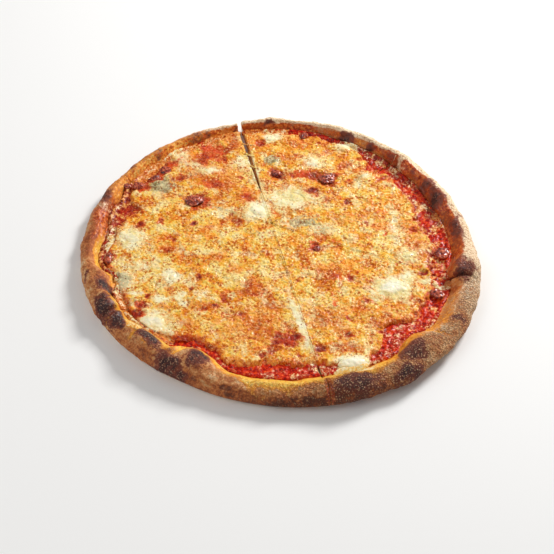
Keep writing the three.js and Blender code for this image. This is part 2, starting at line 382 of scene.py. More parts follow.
# Painted highlights: pale flecks on the fat.
butter = crust.over(crust.ease(fine, 0.54, 0.66, 0, 0.4), butter, "fcdc8c")
skin = crust.over(crust.ease(gold, 0.1, 0.4), skin, butter)
fried_on = crust.range_of(crust.sum("ADD", fine, crust.ease(broad, 0.4, 0.6, -0.06, 0.06)),
                          (0.4, "bc500e"), (0.5, "ec8c20"), (0.6, "f8c868"))
skin = crust.over(crust.ease(crust.painted("fried_on", spread), 0.25, 0.6), skin, fried_on)
stain = crust.painted("stained", spread, crust.ease(broad, 0.38, 0.62, -0.2, 0.2))
stain = crust.ease(stain, 0.25, 0.8)
sauce_red = crust.range_of(fine, (0.38, "7c2008"), (0.5, "c84c14"), (0.62, "f08c3c"))
skin = crust.over(crust.sum("MULTIPLY", stain, 0.92), skin, sauce_red)
skin = crust.over(crust.sum("MULTIPLY", stain, crust.ease(broad, 0.5, 0.4, 0, 0.4)), skin, "701c08")
pale = crust.ease(crust.painted("floured", spread), 0.15, 0.5)
floury = crust.range_of(grains, (0.3, "f4dab6"), (0.6, "e8c8a0"), (0.9, "c89c70"))
skin = crust.over(pale, skin, floury)
burn = crust.painted("char", crust.ease(broad, 0.38, 0.62, -0.1, 0.1), spread)
skin = crust.over(crust.ease(burn, 0.15, 0.55), skin, "803c28")
charcoal = crust.ease(burn, 0.5, 1)
skin = crust.over(charcoal, skin, "46221e")
skin = crust.over(crust.ease(burn, 0.75, 1.15, 0, 0.8), skin, "281a1e")
# Pale specks on the burnt parts: flour specks and painted highlights on the grain tops.
char_specks_and_highlights = crust.sum("MULTIPLY", charcoal, crust.ease(grains, 0.4, 0.15, 0, 0.45))
skin = crust.over(char_specks_and_highlights, skin, "b07c64")
rough_skin = crust.painted("flour")
# Painted shade: the pits between the grains are darker.
pore_shade = crust.sum("MULTIPLY", crust.ease(grains, 0.4, 0.75, 0, 0.65), rough_skin)
skin = crust.over(pore_shade, skin, "5a260e")
# Pale grain tops: flour dust and painted highlights.
grain_tops_and_highlights = crust.sum("MULTIPLY", crust.ease(grains, 0.42, 0.1, 0, 0.75),
                 crust.ease(fine, 0.4, 0.55, 0.4, 1))
grain_tops_and_highlights = crust.sum("MULTIPLY", grain_tops_and_highlights, crust.ease(burn, 0, 0.6, 0.5, 1))
skin = crust.over(crust.sum("MULTIPLY", rough_skin, grain_tops_and_highlights), skin, "ecb888")
edge_dust = crust.sum("MULTIPLY", crust.painted("floury_edge"), crust.ease(fine, 0.35, 0.5))
skin = crust.over(edge_dust, skin, "f0dcc4")
under = crust.range_of(crust.sum("ADD", broad, crust.ease(fine, 0.4, 0.6, -0.06, 0.06)),
                       (0.4, "e6cca0"), (0.5, "c89058"), (0.6, "6c3c24"))
skin = crust.over(crust.ease(crust.painted("cheesed", spread), 0.25, 0.7), skin, "f6e8bc")
skin = crust.over(crust.painted("underside"), skin, under)
inside_crumb = crust.range_of(fine, (0.35, "804c28"), (0.55, "c89860"))
skin = crust.over(crust.painted("cut_face"), skin, inside_crumb)
crumbs = crust.bumps(crust.ease(grains, 0.75, 0), 1.5, crust.ease(rough_skin, 0, 1, 0.2, 1))
crumbs = crust.bumps(fine, 0.9, 0.4, crumbs)
dullness = crust.ease(crust.sum("MAXIMUM", gold, stain), 0, 1, 0.72, 0.3)
crust_finish = crust.done(skin, dullness, crumbs)

# A swelling is its name, its spots, the heights where it starts and is full, and how far it rises.
# What stands taller than TALL is pressed softly into the HEADROOM above it. All are in mm.
SWELLINGS = (
    ("domes", DOMES, 5, 8, 2.3), ("bubbles", BUBBLES, 3, 6, 2.8), ("lips", LIPS, 3, 5, 1.8),
    ("bulge", BULGE, 4.5, 8, 1.5),
)
TALL = 17.5
HEADROOM = 3

rim_swell = grain("rim_swell", "CLOUDS", 16, noise_depth=1)
rim_lumps = grain("rim_lumps", "CLOUDS", 6, noise_depth=2)
rim_pimples = grain("rim_pimples", "CLOUDS", 2.5, noise_depth=1)
for number in SLICES:
    node = f"dough_{number}"
    dough = copy_of(node, f"crust_{number}")
    bpy.ops.object.mode_set(mode="EDIT")
    bpy.ops.mesh.tris_convert_to_quads(face_threshold=math.radians(60),
                                       shape_threshold=math.radians(179))
    bpy.ops.mesh.select_all(action="DESELECT")
    bpy.ops.mesh.edges_select_sharp(sharpness=math.radians(50))
    bpy.ops.transform.edge_crease(value=1)
    bpy.ops.object.mode_set(mode="OBJECT")
    shape_with(dough, "SUBSURF", levels=3, render_levels=3)
    cut_face = close_up(dough, wide_cuts=((BACK_CUT, 85), (FRONT_CUT, 90)))
    points = points_of(dough)
    climb, share = up_the_rim(points, normals_of(dough))
    whole_side = rise(cut_distance(points), 0.2, 3)
    push(dough, "rim", rise(points[:, 2], 4.2, 7) * rise(cut_distance(points), 0, 0.6), 0.5)
    for name, spots, start, full, swell in SWELLINGS:
        swollen = places(points, spots) * rise(points[:, 2], start, full) * whole_side
        push(dough, name, swollen, swell)
    for texture, depth in ((rim_swell, 2.2), (rim_lumps, 1.6), (rim_pimples, 0.7)):
        shape_with(dough, "DISPLACE", texture=texture, strength=depth * MM, mid_level=0.5,
                   vertex_group="rim")
    push(dough, "creases", places(points, CREASES) * rise(points[:, 2], 5, 8) * whole_side, -2.2)
    for vertex in dough.data.vertices:
        above = max(vertex.co.z / MM - TALL, 0)
        flattened = above - HEADROOM * math.tanh(above / HEADROOM)
        vertex.co.z = max(vertex.co.z - flattened * MM, 0)
    points, normals = points_of(dough), normals_of(dough)
    middle = points[:, :2] / np.linalg.norm(points[:, :2], axis=1)[:, None]
    outward = np.sum(normals[:, :2] * middle, axis=1)
    height = points[:, 2]

    # The rim is browned by the fire, golden with fat at its foot, and floury or burnt on its top.
    # Its outward side at the front is darkened further as painted shade.
    foot_side = rise(climb, 0, 1.5) * (1 - rise(share, 0.48, 0.6))
    outer_side = rise(share, 0.45, 0.7)
    toasted = 0.48 + 0.33 * around(points, 185, 45) * (1 - rise(share, 0.6, 0.9))
    toasted -= 0.42 * around(points, 220, 45)
    toasted -= outer_side * (0.3 * around(points, 80, 60) - 0.14 * around(points, 5, 40))
    toasted += 0.08 * foot_side * around(points, 50, 75)
    ridge = rise(share, 0.12, 0.32) * (1 - rise(share, 0.48, 0.62))
    toasted += (0.24 + 0.15 * uneven(points, 14)) * ridge * around(points, 28, 36)
    # Painted shade: the outward-facing side at the front is darkened, partly as toasting and partly
    # as shade.
    toasted += 0.48 * rise(outward, 0.4, 0.85) * around(points, 262, 75)
    toasted -= 0.12 * around(points, 262, 40) * (1 - rise(outward, 0.2, 0.5))
    toasted -= 0.5 * around(points, 325, 42) * rise(share, 0.4, 0.6)
    toasted = np.maximum(toasted, 0.3) + 0.22 * places(points, CHARRED, 1.6)
    paint(dough, "toast_and_shade", toasted)
    gold_width = 4 + 13 * around(points, 277, 31) + 11 * around(points, 321, 34)
    gold_width += 10 * around(points, 224, 32) + 4 * around(points, 135, 35)
    gold_width *= 1 + 0.2 * uneven(points, 9)
    golden = rise(climb, -1, 0.5) * (1 - rise(climb, gold_width * 0.7, gold_width * 1.3))
    oily_sides = [around(points, 265, 95), around(points, 182, 22), 0.4 * around(points, 140, 38)]
    golden *= np.max(oily_sides, axis=0)
    golden *= 1 - 0.4 * around(points, 322, 26)
    paint(dough, "oily", np.maximum(golden, places(points, LIPS + CREASES)))
    fried_side = np.maximum(around(points, 118, 44), 0.4 * around(points, 72, 34))
    paint(dough, "fried_on", rise(climb, -1, 0.5) * (1 - rise(share, 0.36, 0.5)) * fried_side)
    stained = foot_side * np.maximum(0.9 * around(points, 25, 55), 0.7 * around(points, 85, 35))
    low_foot = rise(climb, -1, 0) * (1 - rise(climb, 1.5, 5))
    stained = np.maximum(stained, 0.8 * low_foot * around(points, 265, 90))
    paint(dough, "stained", np.maximum(stained, places(points, SAUCE_STAINS) * rise(height, 2, 5)))
    back_crest = rise(share + 0.07 * uneven(points, 11) - 0.14 * around(points, 18, 38), 0.32, 0.5)
    back_crest *= around(points, 48, 88) * (1 - 0.3 * around(points, 4, 28))
    paint(dough, "floured", np.maximum(back_crest, places(wander(points, 3, 6), FLOURED)))
    linked = 0.1 * rise(share, 0.3, 0.45) * (1 - rise(share, 0.75, 0.9)) * around(points, 228, 55)
    burnt = places(wander(wander(points, 3.5, 12), 1.5, 4), CHARRED)
    burnt = np.maximum(burnt, linked) * rise(height, 3, 7)
    paint(dough, "char", burnt * (1 - places(points, SAUCE_RUN)))
    low_edge = rise(outward, 0.1, 0.4) * (1 - rise(height, 2, 3.6))
    paint(dough, "floury_edge", low_edge * around(points, 225, 70))
    grainy = 0.4 + 0.6 * around(points, 308, 55) - 0.3 * around(points, 70, 80)
    paint(dough, "flour", rise(height, 1, 4) * rise(share, 0.35, 0.6) * grainy)
    paint(dough, "cheesed", places(wander(points, 2, 5), CHEESED))
    paint(dough, "underside", rise(-normals[:, 2], 0.5, 0.9) * (1 - rise(height, 0.5, 2)))
    paint(dough, "cut_face", cut_face)
    dough.data.materials.append(crust_finish)
    bpy.ops.object.shade_smooth()
    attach(dough, "root")
    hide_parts(node)


# The tomato sauce: a thin wet layer on each slice, under the cheese.
# It shows as a band inside the rim, with pulp that stands up in small glossy lumps.
sauce = Finish("tomato_sauce", Roughness=0.2, IOR=1.33, Specular_IOR_Level=0.3,
               Coat_Weight=0.15, Coat_Roughness=0.06)
pulp = sauce.mottle(3, 3, 0.85)
streaks = sauce.mottle(9, 2)
ragged = sauce.sum("ADD", sauce.ease(streaks, 0.35, 0.65, -0.25, 0.25),
                   sauce.ease(pulp, 0.38, 0.62, -0.3, 0.3))
red = sauce.range_of(pulp, (0.36, "580803"), (0.44, "a81202"), (0.54, "d62804"), (0.64, "ee5c10"))
red = sauce.over(sauce.ease(streaks, 0.45, 0.7, 0, 0.35), red, "c8400c")
dried = sauce.ease(sauce.painted("dried", ragged), 0.2, 0.8, 0, 0.85)
dry_red = sauce.range_of(pulp, (0.4, "5c1408"), (0.55, "a8401c"), (0.64, "d87838"))
red = sauce.over(dried, red, dry_red)
fried = sauce.ease(sauce.painted("cheesy", ragged), 0.3, 0.7)
fried_cheese = sauce.range_of(pulp, (0.38, "b04010"), (0.5, "dc7c2c"), (0.62, "f2b868"))
red = sauce.over(fried, red, fried_cheese)
melted = sauce.ease(sauce.painted("melted", ragged), 0.25, 0.75)
melted_cheese = sauce.range_of(pulp, (0.38, "ecb050"), (0.5, "f4d488"), (0.6, "f8ecc8"))
red = sauce.over(melted, red, melted_cheese)
# Painted glints: small pale pink specks that stand in for highlights on the wet sauce.
painted_glints = sauce.ease(sauce.cells(2.4), 0.22, 0.1, 0, 0.55)
painted_glints = sauce.sum("MULTIPLY", painted_glints, sauce.ease(streaks, 0.46, 0.58))
red = sauce.over(painted_glints, red, "f4b48c")
pulp_bumps = sauce.bumps(sauce.mottle(1.6, 2, 0.8), 0.8, 0.7)
sauce_finish = sauce.done(red, sauce.ease(pulp, 0.4, 0.6, 0.1, 0.3), pulp_bumps)

# The spots where cheese has run out over the sauce.
MELTED_OVER = (
    (55, -118, 28, 12, 15, 1.3), (68, -115, 10, 8, 20, 0.8), (-106, -78, 26, 9, -48, 0.9),
    (-122, -38, 12, 26, 10, 0.7), (-126, -5, 12, 42, 4, 0.85), (114, -29, 20, 6, -30, 0.9),
    (-88, 108, 20, 10, 35, 0.8), (-10, 136, 16, 8, 0, 0.6), (56, 123, 16, 8, -30, 0.7),
    (25, -114, 5, 10, 20, 0.7),
)
sauce_pulp = grain("sauce_pulp", "CLOUDS", 2.6, noise_depth=2)
for number in SLICES:
    node = f"tomato_sauce_{number}"
    layer = copy_of(node, f"sauce_{number}")
    voxel = 0.7
    shape_with(layer, "REMESH", mode="VOXEL", voxel_size=voxel * MM)
    points = points_of(layer)
    radius = np.linalg.norm(points[:, :2], axis=1)
    top = rise(points[:, 2], 4.2, 4.7)
    mark(layer, "under_cheese", 1 - rise(radius, 92, 100) * top)
    mark(layer, "pulp", top * rise(radius, 90, 100))
    uncut_edge = (1 - rise(from_edge(points), 0.5, 3)) * rise(cut_distance(points), 0.2, 2)
    push(layer, "climb", uncut_edge, 2.2)
    push(layer, "melted_over", places(wander(points, 2, 6), MELTED_OVER) * top, 2, "Z")
    shape_with(layer, "DISPLACE", texture=sauce_pulp, strength=2.2 * MM, mid_level=0.35,
               vertex_group="pulp", direction="Z")
    shape_with(layer, "DECIMATE", ratio=0.35, vertex_group="under_cheese", vertex_group_factor=6)
    points = points_of(layer)
    paint(layer, "melted", places(wander(points, 2, 6), MELTED_OVER))
    cheesy = 1.1 * around(points, 118, 45) + 0.5 * around(points, 190, 50)
    cheesy += 0.9 * around(points, 217, 20) + 0.32 * around(points, 0, 50)
    paint(layer, "cheesy", cheesy + 0.4 * uneven(points, 7) - 0.1)
    dry_side = 0.7 * around(points, 170, 45) + 0.4 * around(points, 40, 50)
    paint(layer, "dried", dry_side + 0.4 * (1 - rise(from_edge(points), 1, 5)))
    layer.data.materials.append(sauce_finish)
    bpy.ops.object.shade_smooth()
    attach(layer, "root")
    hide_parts(node)


# The melted cheese: one bubbled, browned layer on each slice, run together over most of the cuts.
# It is grated mozzarella and hard cheese, fried in its own fat, with sauce boiling up through it.
# The spots on the cheese: white curd, blue mould, sauce, toasted parts and swollen lumps.
WHITE = (
    (-82, 104, 15, 23, 0, 0.7), (-72, 94, 14, 10, 0, 0.6), (-60, 90, 23, 12, 0, 0.75),
    (-33, 101, 13, 16, 0, 0.65), (-25, 99, 7, 22, 0, 0.7), (-19, 82, 7, 22, 0, 0.75),
    (-14, 67, 6, 17, 0, 0.7), (-18, 43, 21, 20, 0, 1.15), (-114, 11, 22, 23, 0, 0.95),
    (-44, 40, 18, 11, 0, 0.6), (-74, 49, 7, 10, 0, 0.6), (-9, 130, 14, 12, 0, 0.95),
    (8, 58, 38, 25, 0, 1), (24, 101, 13, 16, 0, 0.85), (51, 121, 14, 14, 0, 0.85),
    (66, 85, 9, 10, 0, 0.85), (61, 76, 6, 7, 0, 1), (-3, 141, 11, 29, 0, 0.6),
    (97, -3, 16, 17, 0, 0.95), (89, 27, 9, 41, 0, 0.65), (34, 23, 17, 13, 0, 0.6),
    (84, -37, 27, 21, 0, 1.3), (97, -25, 12, 15, 0, 0.95), (110, -29, 15, 7, 0, 0.9),
    (124, -37, 6, 9, 0, 0.7), (56, -114, 27, 15, 0, 1.5), (64, -116, 8, 7, 0, 0.9),
    (16, -74, 66, 6.5, -74, 0.95), (-42, 42, 74, 4, -22, 0.5), (71, -46, 6, 7, 0, 0.8),
    (-80, -31, 13, 15, 0, 1), (-74, -50, 13, 9, 0, 0.9), (-88, -54, 12, 9, 0, 0.85),
    (-91, -76, 24, 19, 0, 1.25), (-81, -86, 13, 8, 0, 0.8), (-107, -48, 10, 7, 0, 0.8),
    (-67, -38, 10, 9, 0, 0.7), (-105, -20, 24, 11, 0, 0.65), (-57, -49, 14, 10, 0, 0.5),
    (-70, -59, 8, 6, 0, 0.7), (-118, -36, 22, 20, 0, 0.7), (-98, -80, 14, 14, 0, 0.8),
)
BLUE = (
    (-95, 70, 22, 22, 0, 0.9), (-8, 103, 13, 16, 0, 0.9), (18, 32, 29, 14, 0, 0.7),
    (34, 22, 17, 9, 0, 0.5), (-119, -34, 18, 14, 0, 0.75), (-108, -57, 9, 10, 0, 0.5),
)
RED = (
    (-57, 112, 28, 26, 0, 0.9), (-49, 104, 12, 10, 0, 0.8), (-93, 90, 10, 15, 0, 1),
    (-89, 97, 6, 10, 0, 0.9), (-100, 78, 10, 8, 0, 1), (-111, 69, 14, 13, 0, 1),
    (-122, 69, 9, 10, 0, 1), (-65, 53, 19, 16, 0, 1.1), (-55, 71, 14, 13, 0, 0.75),
    (-32, 80, 3, 4, 0, 1), (-81, 80, 9, 8, 0, 0.8), (-17, 124, 8, 9, 0, 1), (-4, 88, 11, 12, 0, 1),
    (-109, 24, 8, 8, 0, 1), (-93, 29, 7, 6, 0, 0.8), (-82, 10, 5, 6, 0, 0.8),
    (-66, 27, 6, 5, 0, 0.8), (-32, 31, 6, 5, 0, 0.7), (-129, -13, 8, 17, 0, 1),
    (37, 81, 16, 17, 0, 1.1), (21, 87, 17, 10, 0, 0.8), (-2, 86, 10, 10, 0, 1),
    (25, 67, 12, 8, 0, 0.9), (18, 134, 9, 11, 0, 0.8), (28, 3, 10, 11, 0, 1),
    (53, 55, 6, 8, 0, 0.9), (67, 31, 5, 7, 0, 0.8), (82, 21, 5, 7, 0, 0.8), (104, 26, 8, 6, 0, 0.9),
    (80, 84, 14, 8, 0, 0.9), (11, 82, 6, 7, 0, 0.7), (53, -29, 8, 7, 0, 1), (31, -99, 8, 8, 0, 1),
    (6, -90, 22, 15, 0, 1.1), (74, -80, 6, 7, 0, 1), (109, -21, 8, 6, 0, 0.9),
    (52, -85, 8, 6, 0, 0.8), (53, -69, 5, 6, 0, 0.8), (66, -52, 7, 7, 0, 0.6),
    (117, -43, 14, 12, 0, 1.1), (87, -73, 9, 8, 0, 0.8), (42, -56, 4, 12, 0, 0.5),
    (-103, -68, 16, 7, 0, 1), (-97, -52, 5, 7, 0, 1), (-101, -60, 8, 10, 0, 0.9),
    (-118, -50, 11, 6, 0, 0.8), (-65, -44, 4, 4, 0, 0.9), (-61, -31, 4, 6, 0, 0.9),
    (-41, -52, 8, 9, 0, 0.8), (-17, -47, 10, 7, 0, 0.75), (-35, -66, 12, 4, 0, 0.8),
    (-68, -94, 14, 6, 0, 0.9), (-11, -107, 6, 7, 0, 0.9), (-18, -90, 5, 3, 0, 0.8),
    (-55, -63, 7, 4, 0, 0.9), (-50, -68, 3, 3, 0, 0.8), (-4, -100, 11, 18, 0, 0.7),
    (-26, 59, 14, 8, 0, 0.75), (-54, 76, 17, 13, 0, 0.85), (23, 86, 32, 10, 0, 1),
    (-103, 82, 46, 13, 38, 1.1), (-70, -92, 20, 10, 0, 0.7), (45, -26, 14, 7, -10, 0.6),
    (-46, -58, 6, 5, 0, 0.9), (-27, -67, 6, 5, 0, 0.8),
)
TOASTED = (
    (-24, 57, 15, 10, 0, 1), (-57, 21, 12, 9, 0, 0.9), (-32, 31, 11, 10, 0, 0.8),
    (-47, -9, 11, 9, 0, 0.9), (-87, -1, 13, 8, 0, 0.8), (-81, 80, 23, 10, 0, 0.7),
    (-47, 83, 21, 24, 0, 0.6), (-68, 98, 35, 35, 0, 0.55), (-102, 93, 18, 14, 0, 0.9),
    (-109, 81, 18, 8, 0, 0.8), (-88, 58, 29, 13, 0, 0.6), (-42, 121, 18, 27, 0, 0.7),
    (-124, 51, 10, 20, 0, 0.8), (51, 98, 13, 9, 0, 0.9), (21, 98, 12, 9, 0, 0.8),
    (3, 70, 8, 12, 0, 1), (37, 57, 9, 8, 0, 0.9), (76, 39, 13, 13, 0, 0.6),
    (13, 127, 23, 16, 0, 0.8), (49, 33, 18, 11, 0, 0.5), (29, 115, 35, 16, 0, 0.5),
    (101, 29, 7, 32, 0, 0.6), (116, 20, 9, 14, 0, 0.9), (42, -23, 24, 13, 0, 0.95),
    (88, -57, 12, 10, 0, 0.8), (80, -67, 12, 9, 0, 0.7), (47, -96, 12, 10, 0, 0.7),
    (63, -61, 21, 11, 0, 0.5), (32, -59, 13, 9, 0, 0.5), (61, -36, 16, 9, 0, 0.5),
    (-54, -61, 19, 10, 0, 0.8), (-85, -61, 15, 6, 0, 0.9), (-67, -77, 10, 17, 0, 0.8),
    (-19, -40, 23, 19, 0, 0.8), (-32, -20, 19, 11, 0, 0.7), (-28, -78, 17, 13, 0, 0.6),
    (-39, -99, 16, 10, 0, 0.6), (-82, -43, 6, 6, 0, 0.7), (-99, -41, 8, 7, 0, 0.6),
    (-6, -61, 13, 17, 0, 0.6), (-50, 82, 50, 40, 0, 0.7), (-20, -78, 60, 40, 0, 0.7),
    (30, -70, 40, 40, 0, 0.4), (10, 112, 40, 30, 0, 0.4), (-27, 59, 24, 15, 0, 0.9),
    (-54, 76, 24, 19, 0, 0.8), (40, -22, 28, 15, -20, 0.9), (48, -84, 20, 14, 0, 0.7),
    (85, -70, 40, 16, 20, 0.6), (103, 20, 14, 50, 10, 0.6), (-24, 127, 13, 34, 12, 1),
    (81, 28, 17, 11, 0, 1), (54, -99, 18, 8, 10, 0.9),
)
LUMPS = (
    (-56, -50, 19, 15, 0, 1), (-82, 101, 17, 14, 0, 0.9), (24, 101, 14, 12, 0, 0.8),
    (66, 85, 13, 9, 0, 0.9), (-114, 11, 20, 18, 0, 0.6), (9, 57, 30, 22, 0, 0.5),
    (-80, -31, 13, 12, 0, 0.6), (97, -3, 16, 14, 0, 0.7),
)

cheese = Finish("melted_cheese", Roughness=0.3, IOR=1.4, Specular_IOR_Level=0.2,
                Subsurface_Weight=0.15, Coat_Weight=0.2, Coat_Roughness=0.08)
cheese.shader.inputs["Subsurface Radius"].default_value = (0.002, 0.001, 0.0004)

# From the bottom up: fat, toasted parts, white curd, blue mould, sauce, crumbs with painted shade in
# their gaps and painted highlights on their tops, burnt specks, and a painted shadow line along the
# cuts.
pooled = cheese.mottle(17, 4, 0.7, layer=1)
creamy = cheese.mottle(10, 3, 0.7, layer=2)
oiled = cheese.mottle(11, 3, 0.7, layer=3)
crumbly = cheese.mottle(5, 3, 0.85, layer=4)
speckled = cheese.mottle(2, 3, 0.8, layer=5)
crusted = cheese.ease(cheese.mottle(8, 2, 0.7, layer=6), 0.42, 0.58, 0.25, 1.1)
ragged = cheese.sum("ADD", cheese.ease(crumbly, 0.38, 0.62, -0.24, 0.24),
                    cheese.ease(speckled, 0.38, 0.62, -0.08, 0.08))
tone = cheese.sum("ADD", cheese.ease(pooled, 0.36, 0.64, 0.15, 0.8),
                  cheese.ease(crumbly, 0.36, 0.64, -0.12, 0.12))
tone = cheese.sum("ADD", tone, cheese.sum("MULTIPLY", cheese.painted("relief"), 0.2))
body = cheese.range_of(tone, (0.1, "b84e04"), (0.28, "e6840c"), (0.45, "f6aa20"), (0.62, "fac446"),
                       (0.8, "fcd670"), (1, "fce69c"))
body = cheese.over(cheese.ease(creamy, 0.5, 0.59, 0, 0.7), body, "fde8ac")
body = cheese.over(cheese.ease(oiled, 0.51, 0.58, 0, 0.75), body, "fcc42c", "MULTIPLY")
rim_side = cheese.sum("MULTIPLY", cheese.painted("rim_side"), 0.8)
fried = cheese.sum("MAXIMUM", cheese.painted("toasted"), rim_side)
toasting = cheese.ease(cheese.sum("ADD", fried, ragged), 0.2, 0.75, 0, 0.9)
toasted = cheese.range_of(tone, (0.2, "b03c06"), (0.5, "e46c0e"), (0.8, "f49826"))
body = cheese.over(toasting, body, toasted)
curd = cheese.ease(cheese.painted("white", cheese.sum("MULTIPLY", ragged, 0.7)), 0.05, 0.95)
white = cheese.range_of(tone, (0.15, "e8cf7c"), (0.4, "f2e0a0"), (0.75, "f9efc6"))
body = cheese.over(curd, body, white)
mould = cheese.ease(cheese.painted("blue", ragged), 0.3, 0.7, 0, 0.9)
veins = cheese.range_of(crumbly, (0.4, "5c6048"), (0.5, "a8a07a"), (0.6, "e0d0a0"))
body = cheese.over(mould, body, veins)
sauce_up = cheese.painted("red", ragged)
orange_edge = cheese.range_of(tone, (0.2, "b83008"), (0.8, "ec6c1c"))
body = cheese.over(cheese.ease(sauce_up, 0.3, 0.6, 0, 0.9), body, orange_edge)
deep_red = cheese.range_of(tone, (0.3, "6c0e04"), (0.6, "a82006"), (0.9, "d84810"))
body = cheese.over(cheese.ease(sauce_up, 0.5, 0.95), body, deep_red)
sunk_sauce = cheese.range_of(tone, (0.25, "981c08"), (0.5, "d03c10"), (0.8, "f08c38"))
body = cheese.over(cheese.ease(cheese.painted("sunk", ragged), 0.35, 0.75), body, sunk_sauce)
moist = cheese.sum("MAXIMUM", curd, cheese.ease(sauce_up, 0.4, 0.8, 0, 0.8))
crispness = cheese.sum("MULTIPLY", cheese.ease(moist, 0.3, 1, 1, 0.2), crusted)
# Painted shade: the gaps between the crumbs are darker.
gap_shade = cheese.sum("MULTIPLY", cheese.ease(speckled, 0.54, 0.38), crispness)
body = cheese.over(gap_shade, body, "c4742c", "MULTIPLY")
# Painted highlights: the crumb tops are paler.
crumb_highlights = cheese.sum("MULTIPLY", cheese.ease(speckled, 0.52, 0.64, 0, 0.7), crispness)
body = cheese.over(crumb_highlights, body, "ffeca4")
specks = cheese.sum("MULTIPLY", cheese.ease(cheese.cells(3.2), 0.22, 0.1),
                    cheese.ease(crumbly, 0.46, 0.54))
body = cheese.over(specks, body, "7a3010")
spots = cheese.sum("MULTIPLY", cheese.ease(cheese.cells(5.5), 0.3, 0.12),
                   cheese.ease(crusted, 0.5, 1, 0, 0.9))
spots = cheese.sum("MULTIPLY", spots, cheese.ease(curd, 0.3, 0.9, 1, 0.1))
body = cheese.over(spots, body, "c45a14")
body = cheese.over(cheese.ease(cheese.painted("white"), 1, 1.3, 0, 0.8), body, "f6f2da")
# Painted shadow: a dark line along the closed cuts, where the cut would be in shade.
cut_shadow_line = cheese.sum("MULTIPLY", cheese.painted("cut_shadow_line"),
                      cheese.ease(crumbly, 0.4, 0.55, 1, 0.4))
body = cheese.over(cut_shadow_line, body, "7c3c14")
skin_bumps = cheese.bumps(speckled, 0.85, cheese.ease(curd, 0.5, 1, 1, 0.6))
cheese_finish = cheese.done(body, cheese.ease(speckled, 0.38, 0.62, 0.2, 0.42), skin_bumps)

cheese_rolls = grain("cheese_rolls", "CLOUDS", 14, noise_depth=1)
cheese_lumps = grain("cheese_lumps", "CLOUDS", 5, noise_depth=1)
cheese_crumbs = grain("cheese_crumbs", "CLOUDS", 2, noise_depth=1)
MELTED_PIECES = [f"mozzarella_{number}" for number in range(1, 11)]
MELTED_PIECES += [f"gorgonzola_{number}" for number in range(1, 5)]
LARGE_BLISTERS = ["sauce_blister_1", "sauce_blister_2"]


def footprint(node):
    """A piece's middle, its two half lengths and the way it is turned, seen from above."""
    corners = points_of(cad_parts[node])[:, :2]
    middle = (corners.min(axis=0) + corners.max(axis=0)) / 2
    turned = np.linalg.svd(corners - middle, full_matrices=False)[2]
    return middle, turned, np.abs((corners - middle) @ turned.T).max(axis=0)


def share_out(points, node):
    """How far out each point is from a piece's middle: one at the piece's edge."""
    middle, turned, reach = footprint(node)
    return np.linalg.norm((points[:, :2] - middle) @ turned.T / reach, axis=1)


def cheese_relief(piece, calm):
    """Raises rolls, lumps and crumbs, with low crumbs where it is calm, and paints the heights."""
    before = points_of(piece)[:, 2]
    mark(piece, "top", rise(normals_of(piece)[:, 2], 0.2, 0.8))
    mark(piece, "crumbly", rise(normals_of(piece)[:, 2], 0.2, 0.8) * (1 - 0.75 * calm))
    shape_with(piece, "DISPLACE", texture=cheese_rolls, strength=1.8 * MM, mid_level=0.4,
               vertex_group="top", direction="Z")
    shape_with(piece, "DISPLACE", texture=cheese_lumps, strength=1.2 * MM, mid_level=0.5,
               vertex_group="top", direction="Z")
    rolled = points_of(piece)[:, 2]
    shape_with(piece, "DISPLACE", texture=cheese_crumbs, strength=1.4 * MM, mid_level=0.5,
               vertex_group="crumbly", direction="Z")
    crumb, roll = points_of(piece)[:, 2] - rolled, rolled - before
    paint(piece, "relief", np.clip(0.5 + crumb * 1.2 + (roll - 0.1) * 0.3, 0, 1))


def paint_toppings(piece, points):
    moved = wander(points, 2.2, 7)
    for name, spots in (("white", WHITE), ("blue", BLUE), ("red", RED), ("toasted", TOASTED)):
        paint(piece, name, places(moved, spots))


for number in SLICES:
    node = f"melted_cheese_{number}"
    layer = copy_of(node, f"cheese_{number}")
    voxel = 0.55
    shape_with(layer, "REMESH", mode="VOXEL", voxel_size=voxel * MM)
    shape_with(layer, "SMOOTH", factor=0.5, iterations=2)
    points = points_of(layer)
    on_top = rise(points[:, 2], 6, 7)
    near_cut = cut_distance(points)
    close_up(layer, wide_cuts=((BACK_CUT, 30),))
    cheese_relief(layer, rise(places(points, WHITE), 0.3, 0.7))
    covered = [1 - rise(share_out(points, lump), 0.5, 0.75)
               for lump in MELTED_PIECES + LARGE_BLISTERS]
    push(layer, "under_pieces", on_top * np.max(covered, axis=0), -1.2, "Z")
    push(layer, "swollen", places(points, LUMPS) * on_top, 1.4, "Z")
    push(layer, "pits", rise(places(points, RED), 0.4, 0.8) * on_top, -0.8, "Z")
    raggedness = 3.5 + 4.5 * uneven(points, 9) + 2.4 * uneven(points, 4)
    raggedness *= 1 - 0.8 * around(points, 205, 45) - 0.7 * around(points, 110, 40)
    inside = from_edge(points) - raggedness
    push(layer, "edge", (1 - rise(inside, -1.5, 2)) * rise(near_cut, 0, 1), -2.5, "Z")
    push(layer, "seam", (1 - rise(near_cut, 0.3, 1.4)) * on_top, 0.5, "Z")
    paint_toppings(layer, points)
    # The painted shadow line along the cuts is strongest at the front cut.
    at_front = around(points, CUT_BEARINGS[FRONT_CUT], 20)
    at_front *= rise(np.linalg.norm(points[:, :2], axis=1), 70, 90)
    paint(layer, "cut_shadow_line", (1 - rise(near_cut, 0.3, 0.9)) * on_top * (0.45 + 0.55 * at_front))
    paint(layer, "rim_side", 1 - rise(inside, 0, 7))
    paint(layer, "sunk", 1 - rise(inside, -1.5, 1 + 5 * around(points, 15, 70)))
    layer.data.materials.append(cheese_finish)
    bpy.ops.object.shade_smooth()
    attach(layer, "root")
    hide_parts(node)


